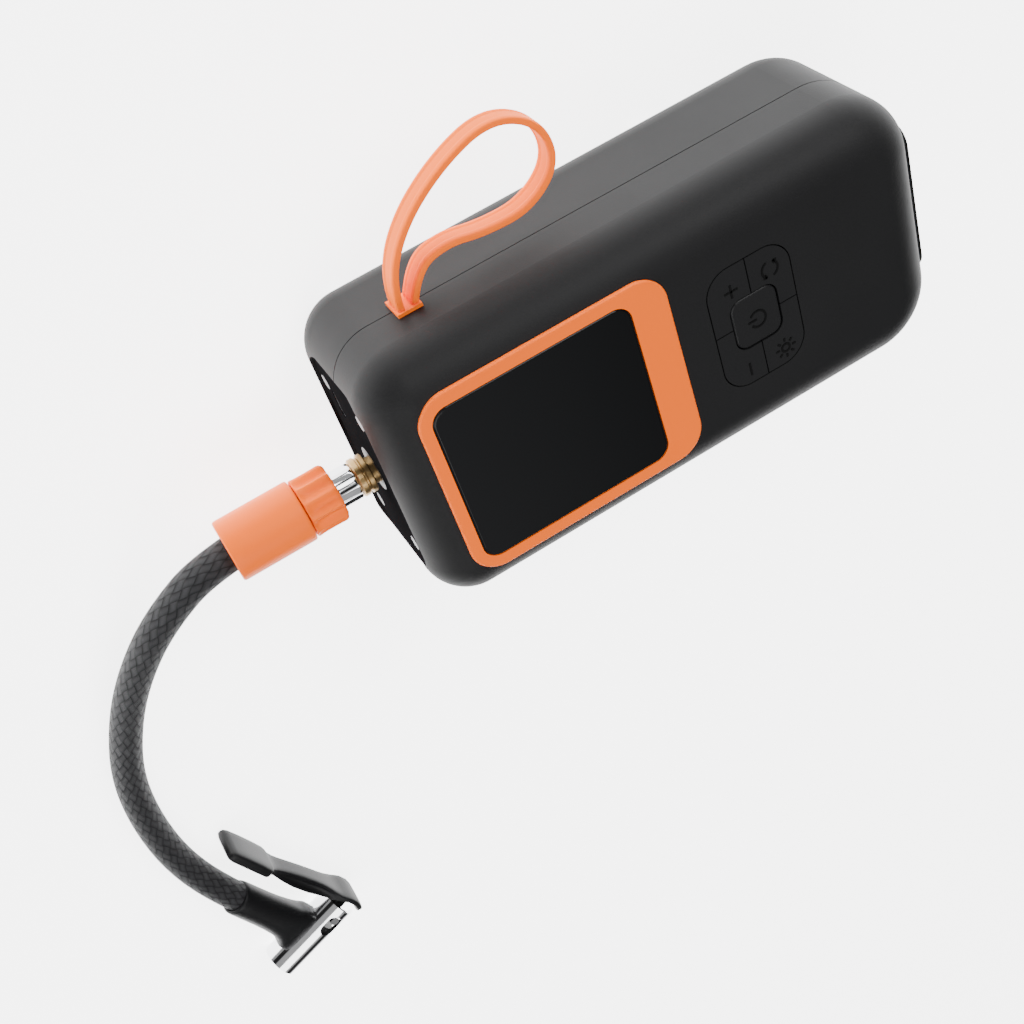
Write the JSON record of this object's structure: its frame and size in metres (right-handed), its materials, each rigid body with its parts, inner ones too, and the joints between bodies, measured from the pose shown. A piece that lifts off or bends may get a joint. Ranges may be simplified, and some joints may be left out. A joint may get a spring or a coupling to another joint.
{
  "type": "portable tire inflator",
  "caption": "Handheld battery tyre inflator with a display, keypad, lamp, wrist strap and a screw-on braided hose with a lever valve chuck",
  "frame": {"origin": "centre of the inflator body's footprint, on its flat back, measured without the hose, chuck and strap", "axes": "+Z out of the display face, +Y along the body toward the hose outlet, +X toward the wrist strap"},
  "size_m": [0.2682, 0.2796, 0.0579],
  "materials": {
    "soft_black": "soft-touch black",
    "black_plastic": "fine moulded texture",
    "gloss_black": "polished",
    "screen_glass": "black-backed polished glass",
    "clear_plastic": "clear lens",
    "tinted_plastic": "dark tinted window",
    "orange_plastic": "satin orange",
    "key_plastic": "satin black",
    "orange_rubber": "matt silicone",
    "hose_braid": "woven black braid over rubber",
    "black_rubber": "matt",
    "brass": "turned",
    "chrome": "plated",
    "steel": "ground",
    "cast_aluminium": "as cast",
    "gear_plastic": "moulded",
    "board": "solder resist",
    "cell_wrap": "shrink sleeve",
    "reflector": "vacuum metallised"
  },
  "bodies": {
    "housing": {"front_cover": "soft_black", "rear_cover": "soft_black", "housing_screws": "steel", "display_bezel": "orange_plastic", "display_lens": "screen_glass", "lcd_module": "board", "lamp_bezel": "black_plastic", "lamp_lens": "clear_plastic", "lamp_reflector": "reflector", "led_board": "board", "key_retainer": "black_plastic", "key_switches": "board", "main_board": "board", "pressure_sensor": "board", "pressure_tube": "black_rubber", "outlet_socket": "black_plastic", "indicator_window": "tinted_plastic", "usb_port": "steel", "end_panel": "gloss_black", "end_panel_screws": "steel", "battery_cells": "cell_wrap", "battery_holder": "black_plastic", "cell_links": "steel", "motor_body": "steel", "motor_screws": "steel", "crank_bearings": "steel", "gearbox_frame": "black_plastic", "frame_cushions": "black_rubber", "cylinder": "cast_aluminium", "reed_valve": "steel", "cylinder_head": "cast_aluminium", "head_screws": "steel", "strap_plug": "orange_rubber", "wrist_strap": "orange_rubber"},
    "power_key": {"power_button": "key_plastic"},
    "plus_key": {"plus_button": "key_plastic"},
    "minus_key": {"minus_button": "key_plastic"},
    "mode_key": {"mode_button": "key_plastic"},
    "light_key": {"light_button": "key_plastic"},
    "crank": {"crank_gear": "gear_plastic", "crank_axle": "steel"},
    "rotor": {"motor_shaft": "steel", "motor_pinion": "brass"},
    "piston": {"piston": "cast_aluminium", "piston_seal": "black_rubber", "wrist_pin": "steel", "connecting_rod": "cast_aluminium", "crank_pin": "steel"},
    "hose": {"hose": "hose_braid", "hose_sleeve": "orange_plastic", "hose_cuff": "black_plastic", "chuck_barrel": "chrome", "lever_pin": "steel", "valve_seal": "black_rubber"},
    "coupling": {"coupling_stud": "brass", "coupling_nut": "chrome", "coupling_collar": "orange_plastic"},
    "lever": {"chuck_lever": "black_plastic"},
    "plunger": {"chuck_plunger": "black_plastic"}
  },
  "joints": [
    {"name": "power_press", "type": "slide", "parent": "housing", "child": "power_key", "axis": [0, 0, -1], "range_m": [0, 0.0008], "stiffness_N_per_m": 2500, "springref_m": -0.0002},
    {"name": "plus_press", "type": "slide", "parent": "housing", "child": "plus_key", "axis": [0, 0, -1], "range_m": [0, 0.0008], "stiffness_N_per_m": 2500, "springref_m": -0.0002},
    {"name": "minus_press", "type": "slide", "parent": "housing", "child": "minus_key", "axis": [0, 0, -1], "range_m": [0, 0.0008], "stiffness_N_per_m": 2500, "springref_m": -0.0002},
    {"name": "mode_press", "type": "slide", "parent": "housing", "child": "mode_key", "axis": [0, 0, -1], "range_m": [0, 0.0008], "stiffness_N_per_m": 2500, "springref_m": -0.0002},
    {"name": "light_press", "type": "slide", "parent": "housing", "child": "light_key", "axis": [0, 0, -1], "range_m": [0, 0.0008], "stiffness_N_per_m": 2500, "springref_m": -0.0002},
    {"name": "crank_spin", "type": "hinge", "parent": "housing", "child": "crank", "pos_m": [0.0025, 0.008, 0.0285], "axis": [1, 0, 0], "continuous": true},
    {"name": "rotor_spin", "type": "hinge", "parent": "housing", "child": "rotor", "pos_m": [0.0025, -0.0128, 0.0285], "axis": [1, 0, 0], "continuous": true},
    {"name": "piston_stroke", "type": "slide", "parent": "housing", "child": "piston", "axis": [0, -1, 0], "range_m": [0, 0.01]},
    {"name": "hose_screw_travel", "type": "slide", "parent": "housing", "child": "hose", "axis": [0, 1, 0], "range_m": [0, 0.005]},
    {"name": "coupling_spin", "type": "hinge", "parent": "hose", "child": "coupling", "pos_m": [-0.002, 0.09, 0.0285], "axis": [0, 1, 0], "range_deg": [0, 1800]},
    {"name": "lever_pivot", "type": "hinge", "parent": "hose", "child": "lever", "pos_m": [-0.17571, 0.15948, 0.007], "axis": [0, 0, -1], "range_deg": [0, 90]},
    {"name": "plunger_travel", "type": "slide", "parent": "hose", "child": "plunger", "axis": [-0.3665, 0.9304, 0], "range_m": [0, 0.0017]}
  ],
  "couplings": [
    {"joint": "rotor_spin", "follows": "crank_spin", "ratio": -3.3333},
    {"joint": "coupling_spin", "follows": "hose_screw_travel", "rad_per_m": 6283.2},
    {"joint": "lever_pivot", "follows": "plunger_travel", "rad_per_m": 923.99}
  ]
}
